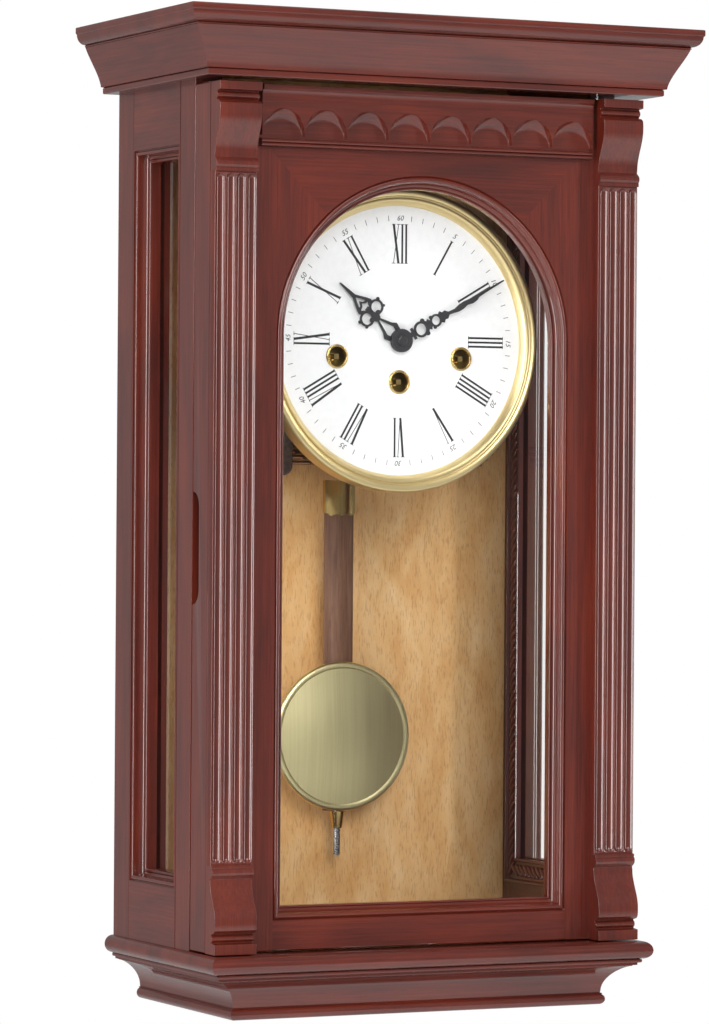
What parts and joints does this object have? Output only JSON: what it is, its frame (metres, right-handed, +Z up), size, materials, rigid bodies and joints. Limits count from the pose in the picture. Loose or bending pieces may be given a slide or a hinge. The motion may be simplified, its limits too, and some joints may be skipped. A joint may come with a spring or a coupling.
{
  "type": "pendulum wall clock",
  "caption": "Glazed wooden wall clock with a moulded cornice, fluted pilasters, an arched hinged door, a round dial with winding holes and a swinging pendulum.",
  "frame": {"origin": "centre of the round hole of the keyhole plate, on the wall plane", "axes": "+X to the right seen from the front, +Y into the wall, +Z up"},
  "size_m": [0.35, 0.1828, 0.6112],
  "materials": {
    "mahogany": "gloss",
    "maple": "satin",
    "walnut": "satin",
    "glass": "polished",
    "brass": "brushed",
    "movement_brass": "satin",
    "steel": "satin",
    "dial_white": "satin",
    "hand_black": "satin",
    "hammertone": "hammered",
    "rod_bronze": "satin",
    "magnet": "satin"
  },
  "bodies": {
    "case": {"back_panel": "maple", "side_frame_left": "mahogany", "side_frame_right": "mahogany", "side_glass": "glass", "side_beads": "mahogany", "rope_mouldings": "mahogany", "ceiling_board": "mahogany", "cornice_cap": "mahogany", "cornice_mouldings": "mahogany", "base_board": "mahogany", "base_mouldings": "mahogany", "hanger_plate": "steel", "hanger_screws": "steel", "catch_magnet": "magnet", "case_hinge_leaves": "brass", "movement_cheeks": "maple", "front_plate": "movement_brass", "back_plate": "movement_brass", "plate_pillars": "steel", "suspension_post": "movement_brass", "gong_block": "hammertone", "chime_rods": "rod_bronze", "dial_plate": "dial_white", "dial_bezel": "brass", "winding_grommets": "brass"},
    "door": {"door_stile_left": "mahogany", "door_stile_right": "mahogany", "door_top_rail": "mahogany", "door_bottom_rail": "mahogany", "arch_moulding": "mahogany", "door_glass": "glass", "glass_beads": "mahogany", "frieze": "mahogany", "pilaster_shafts": "mahogany", "pilaster_capitals": "mahogany", "pilaster_bases": "mahogany", "door_hinge_leaves": "brass", "catch_plate": "steel"},
    "pendulum": {"pendulum_leader": "steel", "pendulum_ferrule": "brass", "pendulum_stick": "walnut", "bob": "brass", "rating_rod": "steel"},
    "rating_nut": {"rating_nut": "brass"},
    "crutch": {"anchor_and_crutch": "steel"},
    "escape_wheel": {"escape_wheel": "movement_brass"},
    "minute": {"center_arbor": "movement_brass", "minute_hand": "hand_black", "hand_nut": "hand_black"},
    "minute_wheel": {"minute_wheel": "movement_brass"},
    "hour": {"hour_wheel": "movement_brass", "hour_hand": "hand_black"},
    "time_barrel": {"time_barrel": "movement_brass"},
    "strike_barrel": {"strike_barrel": "movement_brass"},
    "chime_barrel": {"chime_barrel": "movement_brass"},
    "time_arbor": {"time_arbor": "movement_brass"},
    "strike_arbor": {"strike_arbor": "movement_brass"},
    "chime_arbor": {"chime_arbor": "movement_brass"},
    "hammers": {"chime_hammers": "movement_brass"}
  },
  "joints": [
    {"name": "door_hinge", "type": "hinge", "parent": "case", "child": "door", "pos_m": [0.1477, -0.1197, -0.26], "axis": [0, 0, 1], "range_deg": [0, 105]},
    {"name": "pendulum_swing", "type": "hinge", "parent": "case", "child": "pendulum", "pos_m": [0, -0.022, -0.095], "axis": [0, 1, 0], "range_deg": [-4.5, 4.5]},
    {"name": "rating_nut_turn", "type": "hinge", "parent": "pendulum", "child": "rating_nut", "pos_m": [0, -0.022, -0.4549], "axis": [0, 0, 1], "continuous": true},
    {"name": "crutch_swing", "type": "hinge", "parent": "case", "child": "crutch", "pos_m": [0, -0.04, -0.095], "axis": [0, 1, 0], "range_deg": [-4.5, 4.5]},
    {"name": "escape_turn", "type": "hinge", "parent": "case", "child": "escape_wheel", "pos_m": [0, -0.054, -0.116], "axis": [0, 1, 0], "continuous": true},
    {"name": "minute_turn", "type": "hinge", "parent": "case", "child": "minute", "pos_m": [0, -0.11, -0.1509], "axis": [0, 1, 0], "continuous": true},
    {"name": "minute_wheel_turn", "type": "hinge", "parent": "case", "child": "minute_wheel", "pos_m": [0, -0.1, -0.1389], "axis": [0, 1, 0], "continuous": true},
    {"name": "hour_turn", "type": "hinge", "parent": "case", "child": "hour", "pos_m": [0, -0.105, -0.1509], "axis": [0, 1, 0], "continuous": true},
    {"name": "time_barrel_turn", "type": "hinge", "parent": "case", "child": "time_barrel", "pos_m": [0, -0.07, -0.1767], "axis": [0, 1, 0], "continuous": true},
    {"name": "strike_barrel_turn", "type": "hinge", "parent": "case", "child": "strike_barrel", "pos_m": [-0.043, -0.07, -0.1615], "axis": [0, 1, 0], "continuous": true},
    {"name": "chime_barrel_turn", "type": "hinge", "parent": "case", "child": "chime_barrel", "pos_m": [0.043, -0.07, -0.1615], "axis": [0, 1, 0], "continuous": true},
    {"name": "time_winding", "type": "hinge", "parent": "case", "child": "time_arbor", "pos_m": [0, -0.08, -0.1767], "axis": [0, 1, 0], "continuous": true},
    {"name": "strike_winding", "type": "hinge", "parent": "case", "child": "strike_arbor", "pos_m": [-0.043, -0.08, -0.1615], "axis": [0, 1, 0], "continuous": true},
    {"name": "chime_winding", "type": "hinge", "parent": "case", "child": "chime_arbor", "pos_m": [0.043, -0.08, -0.1615], "axis": [0, 1, 0], "continuous": true},
    {"name": "hammer_lift", "type": "hinge", "parent": "case", "child": "hammers", "pos_m": [-0.02, -0.036, -0.19], "axis": [1, 0, 0], "range_deg": [-12, 0], "stiffness_Nm_per_rad": 0.02, "springref_deg": 2.86}
  ],
  "couplings": [
    {"joint": "crutch_swing", "follows": "pendulum_swing", "ratio": 1},
    {"joint": "minute_wheel_turn", "follows": "minute_turn", "ratio": -0.33333},
    {"joint": "hour_turn", "follows": "minute_turn", "ratio": 0.083333},
    {"joint": "time_barrel_turn", "follows": "minute_turn", "ratio": -0.14286}
  ]
}
